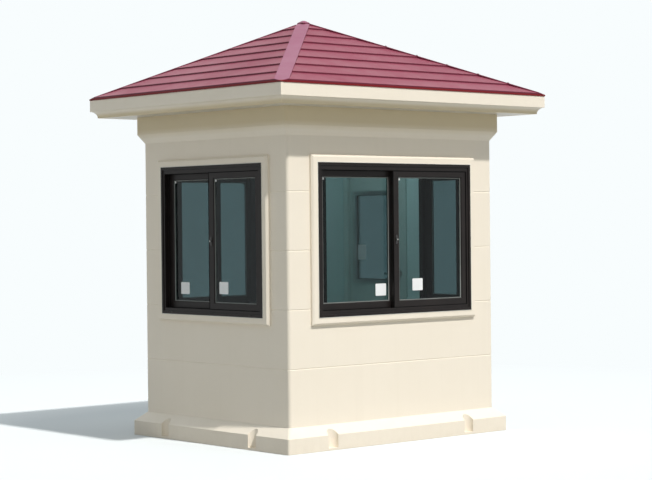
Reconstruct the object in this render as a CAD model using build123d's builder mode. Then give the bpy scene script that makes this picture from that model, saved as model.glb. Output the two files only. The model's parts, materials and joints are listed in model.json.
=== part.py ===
from build123d import *
import os
from math import atan2, degrees, hypot

# Guard booth: a moulded cream body with sliding windows, a hinged door and a lapped hip roof.
# Units are millimetres, +Z is up, the ground is Z = 0 and the origin is the middle of the footprint.
# The front faces -Y, the left side faces -X and the door is in the right side, towards the back.

# Driving dimensions of the body
body_width = 1800
body_depth = 1500
wall_thickness = 50
wall_corner_radius = 20
wall_top = 2137
groove_width = 8
groove_depth = 3
groove_count = 4
groove_first = 512
groove_pitch = 367
flare_foot = 1960
flare_top = 2020
flare_reach = 38

# Plinth skirt with its anchor pockets
plinth_reach = 65
plinth_edge = 95
plinth_top = 155
plinth_corner_radius = 12
pocket_radius = 40
pocket_spread_wide = 1200
pocket_spread_deep = 914
tab_thickness = 14
anchor_radius = 6.5
anchor_setback = 18

# Floor
floor_thickness = 30
floor_step = 15
bearer_count = 4
bearer_width = 50
bearer_wall = 6
bearer_margin = 60

# Windows: a two track frame with one sash in each track
window_sill = 826
window_height = 968
front_window_width = 1345
left_window_width = 1056
side_window_width = 400
side_window_centre = -305
frame_proud = 28
frame_lip = 12
frame_jamb = 34
frame_head = 45
frame_sill = 38
frame_band = 18
frame_step = 6
track_depth = 10
track_rib = 4
sash_depth = 30
sash_stile = 52
sash_top_rail = 49
sash_bottom_rail = 54
sash_headroom = 3
sash_meeting_lap = 50
sash_bevel = 4
glass_thickness = 5
glass_bite = 8
latch_width = 16
latch_height = 56
latch_thickness = 5
knob_radius = 7
knob_proud = 12
surround_width = 48
surround_proud = 25
surround_bevel = 12

# Eaves and roof
eave_reach = 260
fascia_foot = 2180
fascia_top = 2257
fascia_step = 8
fascia_depth = 70
cove_width = 29
soffit_thickness = 20
lip_reach = 4
lip_height = 20
roof_top = 2783
apex_shift_x = -66
apex_shift_y = 58
course_count = 8
course_lap = 10
roof_skin = 40
hip_band_width = 93
hip_band_thickness = 12
hip_band_proud = 3
hip_band_joint = 0.4
peak_width = 64
peak_tip = 18
peak_proud = 2

# Door
door_clearance = 5
door_width = 600
door_thickness = 38
door_head = 1950
door_rear_pier = 60
door_frame_width = 26
door_frame_proud = 10
door_frame_inset = 10
door_stop_lap = 10
door_edge_radius = 3
lite_width = 375
lite_foot = 990
lite_height = 640
lite_hinge_margin = 55
bead_width = 14
bead_proud = 8
hinge_height = 90
hinge_leaf_width = 34
hinge_leaf_thickness = 3
hinge_knuckle_radius = 6
hinge_pin_radius = 3
hinge_pin_clearance = 0.1
hinge_gap = 0.5
hinge_end_margin = 230
handle_height = 1050
handle_edge_margin = 70
rose_radius = 24
rose_thickness = 6
spindle_radius = 8
lever_reach = 38
lever_length = 120
lever_radius = 9

# Sizes that follow
groove_levels = [groove_first + groove_pitch * step for step in range(groove_count)]
floor_top = plinth_top - floor_step
bearer_height = floor_top - floor_thickness
window_middle = window_sill + window_height / 2
frame_depth = 2 * frame_lip + 2 * sash_depth + track_rib
sight_shift = (frame_sill - frame_head) / 2
sash_height = window_height - frame_head - frame_sill + 2 * track_depth - sash_headroom
sash_shift = sight_shift - sash_headroom / 2
soffit_reach = eave_reach - fascia_step - cove_width
roof_foot = fascia_top
lip_top = roof_foot + lip_height
roof_reach = eave_reach + lip_reach
roof_rise = roof_top - lip_top
door_end = body_depth / 2 - door_rear_pier
door_opening = door_width + 2 * door_clearance + 2 * door_frame_width
door_start = door_end - door_opening
door_middle = door_end - door_opening / 2
door_foot = plinth_top + door_frame_width + door_clearance
door_height = door_head - door_frame_width - door_clearance - door_foot
door_frame_depth = door_frame_proud + wall_thickness + door_frame_inset
hinge_line = door_end - door_frame_width - door_clearance / 2
lite_middle = hinge_line - door_clearance / 2 - lite_hinge_margin - lite_width / 2
lite_centre_height = lite_foot + lite_height / 2

# Wall planes: X runs along the wall to the right as seen from outside, Y is up and Z points outwards
front = Plane(origin=(0, -body_depth / 2, 0), x_dir=(1, 0, 0), z_dir=(0, -1, 0))
back = Plane(origin=(0, body_depth / 2, 0), x_dir=(-1, 0, 0), z_dir=(0, 1, 0))
left = Plane(origin=(-body_width / 2, 0, 0), x_dir=(0, -1, 0), z_dir=(-1, 0, 0))
right = Plane(origin=(body_width / 2, 0, 0), x_dir=(0, 1, 0), z_dir=(1, 0, 0))
side_lengths = [(front, body_width), (back, body_width), (left, body_depth), (right, body_depth)]


def save(piece, name):
    """Label a finished piece and write it as its own file."""
    piece.part.label = name
    export_step(piece.part, f"parts/{name}.step")


def place_on(side, along, height):
    """A plane on a wall's outer face, centred at a distance along it and a height."""
    return Plane(origin=side.from_local_coords((along, height, 0)), x_dir=side.x_dir, z_dir=side.z_dir)


def mitre_ends(side, length):
    """Cut the piece being built at 45 degrees through both corners of a side."""
    for end in (-1, 1):
        corner = side.from_local_coords((end * length / 2, 0, 0))
        split(bisect_by=Plane(origin=corner, z_dir=side.z_dir - side.x_dir * end), keep=Keep.TOP)


os.makedirs("parts", exist_ok=True)

# Plinth: one moulded skirt, cut at the corners into four rails
with BuildPart() as skirt:
    with BuildSketch():
        RectangleRounded(body_width + 2 * plinth_reach, body_depth + 2 * plinth_reach, plinth_corner_radius)
    extrude(amount=plinth_edge)
    with BuildSketch(Plane.XY.offset(plinth_edge)):
        RectangleRounded(body_width + 2 * plinth_reach, body_depth + 2 * plinth_reach, plinth_corner_radius)
    with BuildSketch(Plane.XY.offset(plinth_top)):
        RectangleRounded(body_width, body_depth, wall_corner_radius)
    loft(ruled=True)
    with BuildSketch():
        Rectangle(body_width - 2 * wall_thickness, body_depth - 2 * wall_thickness)
    extrude(amount=plinth_top, mode=Mode.SUBTRACT)


def plinth_rail(side, length, pocket_spread):
    """One side of the skirt, with two half round pockets that each hold a drilled anchor tab."""
    spots = [side.from_local_coords((end * pocket_spread / 2, 0, plinth_reach)) for end in (-1, 1)]
    bolts = [spot - side.z_dir * anchor_setback for spot in spots]
    with BuildPart() as rail:
        add(skirt.part)
        mitre_ends(side, length)
        with BuildSketch(Plane.XY.offset(tab_thickness)):
            with Locations(*spots):
                Circle(pocket_radius)
        extrude(amount=plinth_top - tab_thickness, mode=Mode.SUBTRACT)
        with BuildSketch():
            with Locations(*bolts):
                Circle(anchor_radius)
        extrude(amount=tab_thickness, mode=Mode.SUBTRACT)
    return rail


plinth_front = plinth_rail(front, body_width, pocket_spread_wide)
save(plinth_front, "plinth_front")
plinth_back = plinth_rail(back, body_width, pocket_spread_wide)
save(plinth_back, "plinth_back")
plinth_left = plinth_rail(left, body_depth, pocket_spread_deep)
save(plinth_left, "plinth_left")
plinth_right = plinth_rail(right, body_depth, pocket_spread_deep)
save(plinth_right, "plinth_right")

# Floor: a panel on channel bearers, inside the plinth
room_width = body_width - 2 * wall_thickness
room_depth = body_depth - 2 * wall_thickness
bearer_pitch = (room_width - 2 * bearer_margin - bearer_width) / (bearer_count - 1)

with BuildPart() as floor_bearers:
    with BuildSketch(Plane.XZ.offset(-room_depth / 2)):
        with GridLocations(bearer_pitch, 0, bearer_count, 1):
            with Locations((0, bearer_height / 2)):
                Rectangle(bearer_width, bearer_height)
            with Locations((bearer_wall, bearer_height / 2)):
                Rectangle(bearer_width, bearer_height - 2 * bearer_wall, mode=Mode.SUBTRACT)
    extrude(amount=room_depth)
save(floor_bearers, "floor_bearers")

with BuildPart() as floor_panel:
    with BuildSketch(Plane.XY.offset(bearer_height)):
        Rectangle(room_width, room_depth)
    extrude(amount=floor_thickness)
save(floor_panel, "floor_panel")

# Body shell: rounded corners, shallow course grooves and a flared frieze under the eaves
with BuildPart() as shell:
    with BuildSketch(Plane.XY.offset(plinth_top)):
        RectangleRounded(body_width, body_depth, wall_corner_radius)
    extrude(amount=flare_foot - plinth_top)
    for level in groove_levels:
        with BuildSketch(Plane.XY.offset(level - groove_width / 2)):
            Rectangle(body_width + groove_width, body_depth + groove_width)
            RectangleRounded(
                body_width - 2 * groove_depth, body_depth - 2 * groove_depth,
                wall_corner_radius - groove_depth, mode=Mode.SUBTRACT)
        extrude(amount=groove_width, mode=Mode.SUBTRACT)
        for turn in (0, 180):
            with BuildSketch(Plane.XY.offset(level).rotated((turn, 0, 0))):
                RectangleRounded(
                    body_width - 2 * groove_depth, body_depth - 2 * groove_depth,
                    wall_corner_radius - groove_depth)
            with BuildSketch(Plane.XY.offset(level).rotated((turn, 0, 0)).offset(groove_width / 2)):
                RectangleRounded(body_width, body_depth, wall_corner_radius)
            loft(ruled=True)
    with BuildSketch(Plane.XY.offset(flare_foot)):
        RectangleRounded(body_width, body_depth, wall_corner_radius)
    with BuildSketch(Plane.XY.offset(flare_top)):
        RectangleRounded(body_width + 2 * flare_reach, body_depth + 2 * flare_reach, wall_corner_radius)
    loft(ruled=True)
    with BuildSketch(Plane.XY.offset(flare_top)):
        RectangleRounded(body_width + 2 * flare_reach, body_depth + 2 * flare_reach, wall_corner_radius)
    extrude(amount=wall_top - flare_top)
    with BuildSketch(Plane.XY.offset(plinth_top)):
        Rectangle(room_width, room_depth)
    extrude(amount=wall_top - plinth_top, mode=Mode.SUBTRACT)


def surround(place, width):
    """The raised moulding round a window, with a bevelled outer edge."""
    with BuildPart() as moulding:
        with BuildSketch(place.offset(-groove_depth)):
            Rectangle(width + 2 * surround_width, window_height + 2 * surround_width)
        extrude(amount=groove_depth + surround_proud)
        outer_face = moulding.faces().sort_by(Axis(place.origin, place.z_dir))[-1]
        chamfer(outer_face.edges(), length=surround_bevel)
    return moulding.part


def cut_window(place, width):
    """Cut a window opening through the wall being built."""
    with BuildSketch(place.offset(surround_proud)) as hole:
        Rectangle(width, window_height)
    extrude(hole.sketch, amount=-(surround_proud + wall_thickness), mode=Mode.SUBTRACT)


front_place = place_on(front, 0, window_middle)
back_place = place_on(back, 0, window_middle)
left_place = place_on(left, 0, window_middle)
side_place = place_on(right, side_window_centre, window_middle)

front_surround = surround(front_place, front_window_width)
back_surround = surround(back_place, front_window_width)
left_surround = surround(left_place, left_window_width)
side_surround = surround(side_place, side_window_width)

with BuildPart() as front_wall:
    add(shell.part)
    mitre_ends(front, body_width)
    add(front_surround)
    cut_window(front_place, front_window_width)
save(front_wall, "front_wall")

with BuildPart() as back_wall:
    add(shell.part)
    mitre_ends(back, body_width)
    add(back_surround)
    cut_window(back_place, front_window_width)
save(back_wall, "back_wall")

with BuildPart() as left_wall:
    add(shell.part)
    mitre_ends(left, body_depth)
    add(left_surround)
    cut_window(left_place, left_window_width)
save(left_wall, "left_wall")

# The right wall is in three pieces round the doorway
doorway_start = Plane(origin=(0, door_start, 0), z_dir=(0, -1, 0))
doorway_end = Plane(origin=(0, door_end, 0), z_dir=(0, 1, 0))
doorway_head = Plane.XY.offset(door_head)

with BuildPart() as right_wall_front:
    add(shell.part)
    mitre_ends(right, body_depth)
    split(bisect_by=doorway_start, keep=Keep.TOP)
    add(side_surround)
    cut_window(side_place, side_window_width)
save(right_wall_front, "right_wall_front")

with BuildPart() as right_wall_rear:
    add(shell.part)
    mitre_ends(right, body_depth)
    split(bisect_by=doorway_end, keep=Keep.TOP)
save(right_wall_rear, "right_wall_rear")

with BuildPart() as right_wall_head:
    add(shell.part)
    mitre_ends(right, body_depth)
    split(bisect_by=doorway_start, keep=Keep.BOTTOM)
    split(bisect_by=doorway_end, keep=Keep.BOTTOM)
    split(bisect_by=doorway_head, keep=Keep.TOP)
save(right_wall_head, "right_wall_head")


def window_frame(place, width):
    """A frame with a stepped outer face and one track for each sash."""
    sight_width = width - 2 * frame_jamb
    sight_height = window_height - frame_head - frame_sill
    face = place.offset(frame_proud)
    with BuildPart() as frame:
        with BuildSketch(face):
            Rectangle(width, window_height)
        extrude(amount=-frame_depth)
        with BuildSketch(face):
            Rectangle(width - 2 * frame_band, window_height - 2 * frame_band)
        extrude(amount=-frame_step, mode=Mode.SUBTRACT)
        with BuildSketch(face):
            with Locations((0, sight_shift)):
                Rectangle(sight_width, sight_height)
        extrude(amount=-frame_depth, mode=Mode.SUBTRACT)
        for track in (frame_lip, frame_lip + sash_depth + track_rib):
            with BuildSketch(face.offset(-track)):
                with Locations((0, sight_shift)):
                    Rectangle(sight_width + 2 * track_depth, sight_height + 2 * track_depth)
            extrude(amount=-sash_depth, mode=Mode.SUBTRACT)
    return frame


def window_sash(place, width, track):
    """One sash: a rebated frame with a bevelled glazing edge, its outer face at a track's depth."""
    face = place.offset(frame_proud - track)
    sight_lift = (sash_bottom_rail - sash_top_rail) / 2
    sight_width = width - 2 * sash_stile
    sight_height = sash_height - sash_top_rail - sash_bottom_rail
    with BuildPart() as sash:
        with BuildSketch(face):
            Rectangle(width, sash_height)
            with Locations((0, sight_lift)):
                Rectangle(sight_width, sight_height, mode=Mode.SUBTRACT)
        extrude(amount=-sash_depth)
        outer_face = sash.faces().sort_by(Axis(place.origin, place.z_dir))[-1]
        chamfer(outer_face.inner_wires()[0].edges(), length=sash_bevel)
        with BuildSketch(face.offset(-(sash_depth - glass_thickness) / 2)):
            with Locations((0, sight_lift)):
                Rectangle(sight_width + 2 * glass_bite, sight_height + 2 * glass_bite)
        extrude(amount=-glass_thickness, mode=Mode.SUBTRACT)
    return sash


def pane(place, width, track):
    """The glass of one sash, seated in its rebate."""
    sight_lift = (sash_bottom_rail - sash_top_rail) / 2
    with BuildSketch(place.offset(frame_proud - track - (sash_depth - glass_thickness) / 2)) as sheet:
        with Locations((0, sight_lift)):
            Rectangle(
                width - 2 * sash_stile + 2 * glass_bite,
                sash_height - sash_top_rail - sash_bottom_rail + 2 * glass_bite)
    extrude(sheet.sketch, amount=-glass_thickness)


outer_track = frame_lip
inner_track = frame_lip + sash_depth + track_rib


def sash_width(window_width):
    """Each sash runs from its jamb track past the middle by half the meeting lap."""
    return (window_width - 2 * frame_jamb + 2 * track_depth + sash_meeting_lap) / 2


def sash_place(place, window_width, end):
    """The middle of the sash at one end of a sliding window."""
    reach = (window_width - 2 * frame_jamb + 2 * track_depth - sash_width(window_width)) / 2
    origin = place.from_local_coords((end * reach, sash_shift, 0))
    return Plane(origin=origin, x_dir=place.x_dir, z_dir=place.z_dir)


def sliding_window(name, place, width):
    """Frame, two sashes and two panes: the right hand sash, seen from outside, is in the outer track."""
    save(window_frame(place, width), f"{name}_window_frame")
    leaf_width = sash_width(width)
    right_leaf = sash_place(place, width, 1)
    left_leaf = sash_place(place, width, -1)
    save(window_sash(right_leaf, leaf_width, outer_track), f"{name}_outer_sash")
    save(window_sash(left_leaf, leaf_width, inner_track), f"{name}_inner_sash")
    with BuildPart() as glass:
        pane(right_leaf, leaf_width, outer_track)
        pane(left_leaf, leaf_width, inner_track)
    save(glass, f"{name}_window_glass")


sliding_window("front", front_place, front_window_width)
sliding_window("back", back_place, front_window_width)
sliding_window("left", left_place, left_window_width)

# The narrow window beside the door has one fixed sash
side_leaf_width = side_window_width - 2 * frame_jamb + 2 * track_depth
side_leaf = Plane(
    origin=side_place.from_local_coords((0, sash_shift, 0)), x_dir=side_place.x_dir, z_dir=side_place.z_dir)
side_frame = window_frame(side_place, side_window_width)
save(side_frame, "side_window_frame")
side_sash = window_sash(side_leaf, side_leaf_width, outer_track)
save(side_sash, "side_window_sash")

with BuildPart() as side_glass:
    pane(side_leaf, side_leaf_width, outer_track)
save(side_glass, "side_window_glass")

# A latch plate with a knob on the meeting stile of each outer sash
latch_spots = [
    (front_place, front_window_width), (back_place, front_window_width), (left_place, left_window_width)]

with BuildPart() as window_latches:
    for place, width in latch_spots:
        leaf = sash_place(place, width, 1)
        stile_middle = (sash_stile - sash_width(width)) / 2
        spot = Plane(
            origin=leaf.from_local_coords((stile_middle, 0, frame_proud - outer_track)),
            x_dir=place.x_dir, z_dir=place.z_dir)
        with BuildSketch(spot):
            SlotOverall(latch_height, latch_width, rotation=90)
        extrude(amount=latch_thickness)
        with BuildSketch(spot.offset(latch_thickness)):
            Circle(knob_radius)
        extrude(amount=knob_proud - latch_thickness)
save(window_latches, "window_latches")

# Eaves: a flat soffit that is also the ceiling, and a fascia with a cove under it
with BuildPart() as soffit_panel:
    with BuildSketch(Plane.XY.offset(wall_top)):
        Rectangle(
            body_width + 2 * (eave_reach - fascia_depth),
            body_depth + 2 * (eave_reach - fascia_depth))
    extrude(amount=soffit_thickness)
save(soffit_panel, "soffit_panel")


def fascia_rail(side, length):
    """One side of the fascia, mitred at both ends."""
    inner = eave_reach - fascia_depth
    lower = eave_reach - fascia_step
    with BuildPart() as rail:
        with BuildSketch(Plane(origin=side.origin, x_dir=side.z_dir, z_dir=side.x_dir * -1)):
            with BuildLine():
                Polyline(
                    (soffit_reach, wall_top), (inner, wall_top), (inner, fascia_top),
                    (eave_reach, fascia_top), (eave_reach, fascia_foot), (lower, fascia_foot))
                RadiusArc((lower, fascia_foot), (soffit_reach, wall_top), -(fascia_foot - wall_top))
            make_face()
        extrude(amount=length / 2 + eave_reach, both=True)
        mitre_ends(side, length)
    return rail.part


fascia_rails = [fascia_rail(side, length) for side, length in side_lengths]

with BuildPart() as eave_fascia:
    for rail in fascia_rails:
        add(rail)
save(eave_fascia, "eave_fascia")

# Roof: four slopes of lapped courses that meet on the hips, at one apex
apex = Vector(apex_shift_x, apex_shift_y, roof_top)
eave_x = body_width / 2 + roof_reach
eave_y = body_depth / 2 + roof_reach
corners = {
    "front_left": Vector(-eave_x, -eave_y, lip_top),
    "front_right": Vector(eave_x, -eave_y, lip_top),
    "back_right": Vector(eave_x, eave_y, lip_top),
    "back_left": Vector(-eave_x, eave_y, lip_top),
}


def band_drop(corner, half_width):
    """How far the shallower neighbouring slope lies below the hip line at a band's edge."""
    run_x = abs(corner.X - apex.X)
    run_y = abs(corner.Y - apex.Y)
    along = hypot(run_x, run_y)
    fall_x = roof_rise / run_x * run_y / along
    fall_y = roof_rise / run_y * run_x / along
    return half_width * min(fall_x, fall_y)


def hip_bar(corner, bottom, top):
    """A flat bar that runs up one hip, pointed at the eave corner, between two levels above the hip line."""
    line = apex - corner
    across = Vector(-line.Y, line.X, 0)
    with BuildPart() as bar:
        with BuildSketch(Plane(origin=corner, x_dir=across, z_dir=line)):
            with Locations((0, (bottom + top) / 2)):
                Rectangle(hip_band_width, top - bottom)
        extrude(amount=line.length)
        extrude(bar.faces().sort_by(Axis(corner, line))[0], amount=hip_band_width)
        with BuildSketch(Plane.XY.offset(roof_foot)):
            Rectangle(2 * eave_x, 2 * eave_y)
        extrude(amount=2 * roof_rise, mode=Mode.INTERSECT)
    return bar.part


band_tops = {
    name: hip_band_proud - band_drop(corner, hip_band_width / 2) for name, corner in corners.items()}

# The peak cap closes the point where the four bands meet
peak_fall = peak_width / 2 * roof_rise / (eave_y - abs(apex_shift_y))
peak_foot = roof_top - peak_fall - roof_skin
peak_rim = roof_top - peak_fall + peak_proud
peak_lean = degrees(atan2((peak_width - peak_tip) / 2, roof_top - peak_rim))

with BuildPart() as peak_block:
    with BuildSketch(Plane.XY.offset(peak_foot)):
        with Locations((apex.X, apex.Y)):
            Rectangle(peak_width, peak_width)
    extrude(amount=roof_top - peak_foot)

with BuildPart() as peak_cap:
    with BuildSketch(Plane.XY.offset(peak_foot)):
        with Locations((apex.X, apex.Y)):
            Rectangle(peak_width, peak_width)
    extrude(amount=peak_rim - peak_foot)
    with BuildSketch(Plane.XY.offset(peak_rim)):
        with Locations((apex.X, apex.Y)):
            Rectangle(peak_width, peak_width)
    extrude(amount=roof_top - peak_rim, taper=peak_lean)
save(peak_cap, "peak_cap")

slots = {
    name: hip_bar(corner, band_tops[name] - hip_band_thickness, roof_skin)
    for name, corner in corners.items()}


def mitred_band(name, corner):
    """One hip band, mitred at the peak with a fine joint to each of its two neighbours."""
    with BuildPart() as band:
        add(hip_bar(corner, band_tops[name] - hip_band_thickness, band_tops[name]))
        for direction in ((corner.X - apex.X, 0, 0), (0, corner.Y - apex.Y, 0)):
            mitre = Plane(origin=apex, z_dir=direction).offset(hip_band_joint / 2)
            split(bisect_by=mitre, keep=Keep.TOP)
        add(peak_block.part, mode=Mode.SUBTRACT)
    return band.part


mitred_bands = [mitred_band(name, corner) for name, corner in corners.items()]

with BuildPart() as hip_bands:
    for band in mitred_bands:
        add(band)
save(hip_bands, "hip_bands")


def roof_slope(side, first, second):
    """One slope: its lapped section run along the eave, then cut on its two hips."""
    apex_local = side.to_local_coords(apex)
    run = roof_reach - apex_local.Z
    outline = [(roof_reach, roof_foot)]
    for course in range(course_count):
        low = course / course_count
        high = (course + 1) / course_count
        outline.append((roof_reach - run * low, lip_top + roof_rise * low))
        outline.append((roof_reach - run * high, lip_top + roof_rise * high - course_lap))
    seat = (roof_skin - lip_height) / roof_rise
    outline.append((roof_reach - run, roof_top - roof_skin))
    outline.append((roof_reach - run * seat, roof_foot))
    with BuildPart() as slope:
        with BuildSketch(Plane(origin=side.origin, x_dir=side.z_dir, z_dir=side.x_dir * -1)):
            with BuildLine():
                Polyline(*outline, close=True)
            make_face()
        extrude(amount=body_width + body_depth, both=True)
        for name in (first, second):
            line = apex - corners[name]
            inwards = Vector(-line.Y, line.X, 0)
            if inwards.dot(side.z_dir) < 0:
                inwards = inwards * -1
            split(bisect_by=Plane(origin=apex, z_dir=inwards), keep=Keep.TOP)
            add(slots[name], mode=Mode.SUBTRACT)
        add(peak_block.part, mode=Mode.SUBTRACT)
    return slope


roof_front = roof_slope(front, "front_left", "front_right")
save(roof_front, "roof_front")
roof_back = roof_slope(back, "back_left", "back_right")
save(roof_back, "roof_back")
roof_left = roof_slope(left, "back_left", "front_left")
save(roof_left, "roof_left")
roof_right = roof_slope(right, "back_right", "front_right")
save(roof_right, "roof_right")

# Door frame: rebated all round, with the stop behind the leaf
door_frame_place = place_on(right, door_middle, (plinth_top + door_head) / 2)
door_frame_height = door_head - plinth_top
leaf_clear_width = door_width + 2 * door_clearance
leaf_clear_height = door_height + 2 * door_clearance
stop_inset = door_clearance + door_stop_lap

with BuildPart() as door_frame:
    with BuildSketch(door_frame_place.offset(door_frame_proud)):
        Rectangle(door_opening, door_frame_height)
    extrude(amount=-door_frame_depth)
    with BuildSketch(door_frame_place.offset(door_frame_proud)):
        Rectangle(leaf_clear_width, leaf_clear_height)
    extrude(amount=-(door_thickness + door_clearance), mode=Mode.SUBTRACT)
    with BuildSketch(door_frame_place.offset(door_frame_proud)):
        Rectangle(leaf_clear_width - 2 * stop_inset, leaf_clear_height - 2 * stop_inset)
    extrude(amount=-door_frame_depth, mode=Mode.SUBTRACT)
save(door_frame, "door_frame")

# Door leaf with its glazed opening
leaf_face = place_on(right, door_middle, door_foot + door_height / 2).offset(door_frame_proud)
lite_face = place_on(right, lite_middle, lite_centre_height).offset(door_frame_proud)

with BuildPart() as door_leaf:
    with BuildSketch(leaf_face):
        Rectangle(door_width, door_height)
    extrude(amount=-door_thickness)
    fillet(door_leaf.edges().filter_by(Axis.Z), radius=door_edge_radius)
    with BuildSketch(lite_face):
        Rectangle(lite_width, lite_height)
    extrude(amount=-door_thickness, mode=Mode.SUBTRACT)
save(door_leaf, "door_leaf")

with BuildPart() as door_glass:
    with BuildSketch(lite_face.offset(-(door_thickness - glass_thickness) / 2)):
        Rectangle(lite_width, lite_height)
    extrude(amount=-glass_thickness)
save(door_glass, "door_glass")

# Glazing beads: one ring on each side of the glass, lapping the leaf's face
with BuildPart() as door_beads:
    for bead_plane in (
            lite_face.offset(-(door_thickness - glass_thickness) / 2),
            Plane(
                origin=lite_face.offset(-(door_thickness + glass_thickness) / 2).origin,
                x_dir=lite_face.x_dir * -1, z_dir=lite_face.z_dir * -1)):
        with BuildSketch(bead_plane):
            Rectangle(lite_width, lite_height)
            Rectangle(lite_width - 2 * bead_width, lite_height - 2 * bead_width, mode=Mode.SUBTRACT)
        extrude(amount=(door_thickness - glass_thickness) / 2)
        with BuildSketch(bead_plane.offset((door_thickness - glass_thickness) / 2)):
            Rectangle(lite_width + 2 * bead_width, lite_height + 2 * bead_width)
            Rectangle(lite_width - 2 * bead_width, lite_height - 2 * bead_width, mode=Mode.SUBTRACT)
        extrude(amount=bead_proud)
save(door_beads, "door_beads")

# Hinges: knuckles round an upright pin just outside the frame's face, over the gap beside the leaf
hinge_middles = [
    door_foot + hinge_end_margin, door_foot + door_height / 2, door_foot + door_height - hinge_end_margin]
knuckle_height = hinge_height / 3
hinge_face = body_width / 2 + door_frame_proud
hinge_axis = hinge_face + hinge_knuckle_radius

with BuildPart() as hinge_frame_leaves:
    for middle in hinge_middles:
        for end in (-1, 1):
            with BuildSketch(Plane.XY.offset(middle + end * knuckle_height - knuckle_height / 2)):
                with Locations((hinge_axis, hinge_line)):
                    Circle(hinge_knuckle_radius)
                with Locations((hinge_face, hinge_line)):
                    Rectangle(hinge_leaf_thickness, hinge_leaf_width, align=(Align.MIN, Align.MIN))
            extrude(amount=knuckle_height)
        with BuildSketch(Plane.XY.offset(middle - hinge_height / 2)):
            with Locations((hinge_axis, hinge_line)):
                Circle(hinge_pin_radius)
            with Locations((hinge_face, hinge_line + hinge_knuckle_radius + hinge_gap)):
                Rectangle(
                    hinge_leaf_thickness, hinge_leaf_width - hinge_knuckle_radius - hinge_gap,
                    align=(Align.MIN, Align.MIN))
        extrude(amount=hinge_height)
save(hinge_frame_leaves, "hinge_frame_leaves")

with BuildPart() as hinge_door_leaves:
    for middle in hinge_middles:
        with BuildSketch(Plane.XY.offset(middle - knuckle_height / 2 + hinge_gap)):
            with Locations((hinge_axis, hinge_line)):
                Circle(hinge_knuckle_radius)
            with Locations((hinge_face, hinge_line)):
                Rectangle(hinge_leaf_thickness, hinge_leaf_width, align=(Align.MIN, Align.MAX))
            with Locations((hinge_axis, hinge_line)):
                Circle(hinge_pin_radius + hinge_pin_clearance, mode=Mode.SUBTRACT)
        extrude(amount=knuckle_height - 2 * hinge_gap)
        with BuildSketch(Plane.XY.offset(middle - hinge_height / 2)):
            with Locations((hinge_face, hinge_line - hinge_knuckle_radius - hinge_gap)):
                Rectangle(
                    hinge_leaf_thickness, hinge_leaf_width - hinge_knuckle_radius - hinge_gap,
                    align=(Align.MIN, Align.MAX))
        extrude(amount=hinge_height)
save(hinge_door_leaves, "hinge_door_leaves")

# Lever handles: a rose, a neck and a lever on each face of the leaf
handle_line = hinge_line - door_clearance / 2 - door_width + handle_edge_margin
handle_out = place_on(right, handle_line, handle_height).offset(door_frame_proud)
handle_in = Plane(
    origin=handle_out.offset(-door_thickness).origin, x_dir=handle_out.x_dir * -1, z_dir=handle_out.z_dir * -1)

with BuildPart() as door_handles:
    for handle_plane, turn in ((handle_out, 1), (handle_in, -1)):
        with BuildSketch(handle_plane):
            Circle(rose_radius)
        extrude(amount=rose_thickness)
        with BuildSketch(handle_plane.offset(rose_thickness)):
            Circle(spindle_radius)
        extrude(amount=lever_reach)
        lever_start = handle_plane.from_local_coords((-turn * lever_radius, 0, lever_reach))
        with BuildSketch(Plane(origin=lever_start, z_dir=handle_plane.x_dir * turn)):
            Circle(lever_radius)
        extrude(amount=lever_length)
save(door_handles, "door_handles")
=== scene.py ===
# %% [markdown]
# # A moulded guard booth, dressed for the camera
# The construction model gives every panel, sash and hinge its real size. This lesson adds what the eye
# looks for next: gel coat that is not quite even, dark bronze aluminium, tinted glass, gaskets, sealant,
# screws and a little dust. The model is loaded first. All lengths are in metres.

# %% Load the booth
import json
from math import pi, radians

import bmesh
import bpy
from mathutils import Matrix, Vector
from mathutils.bvhtree import BVHTree


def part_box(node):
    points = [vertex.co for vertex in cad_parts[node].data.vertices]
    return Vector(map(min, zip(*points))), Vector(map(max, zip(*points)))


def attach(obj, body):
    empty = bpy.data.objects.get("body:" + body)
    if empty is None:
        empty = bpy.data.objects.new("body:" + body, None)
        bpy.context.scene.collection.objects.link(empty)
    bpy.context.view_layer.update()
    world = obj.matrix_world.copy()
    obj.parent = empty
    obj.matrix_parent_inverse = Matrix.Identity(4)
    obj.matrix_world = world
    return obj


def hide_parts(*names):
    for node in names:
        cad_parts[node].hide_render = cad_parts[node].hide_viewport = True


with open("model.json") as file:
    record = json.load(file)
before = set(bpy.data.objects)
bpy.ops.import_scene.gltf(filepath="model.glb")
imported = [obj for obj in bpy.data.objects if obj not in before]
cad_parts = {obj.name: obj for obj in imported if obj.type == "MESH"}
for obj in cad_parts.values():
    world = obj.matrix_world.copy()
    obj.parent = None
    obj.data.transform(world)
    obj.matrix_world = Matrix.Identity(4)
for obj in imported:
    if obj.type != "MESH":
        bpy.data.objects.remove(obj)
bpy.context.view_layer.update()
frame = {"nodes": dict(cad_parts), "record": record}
nodes = frame["nodes"]
print("pieces from the construction model:", len(nodes))

# %% [markdown]
# ## Camera
# The booth is seen from its front left corner, level with the middle of the windows, by a long lens twelve
# metres away. A long lens keeps the lines of the two walls nearly parallel. The camera could be pointed by
# a constraint, but a turn, a tilt and a small roll written as three rotations say the same in plain numbers.

# %% Camera
IMAGE_WIDTH, FOCAL_PIXELS = 652, 1847.9
SENSOR_MM = 36.0
CAMERA_PLACE = (-8.1889, -9.4486, 1.4136)
TURN, TILT, ROLL = -0.71806, -0.00908, 0.010
FARTHEST_SEEN = 400

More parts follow.
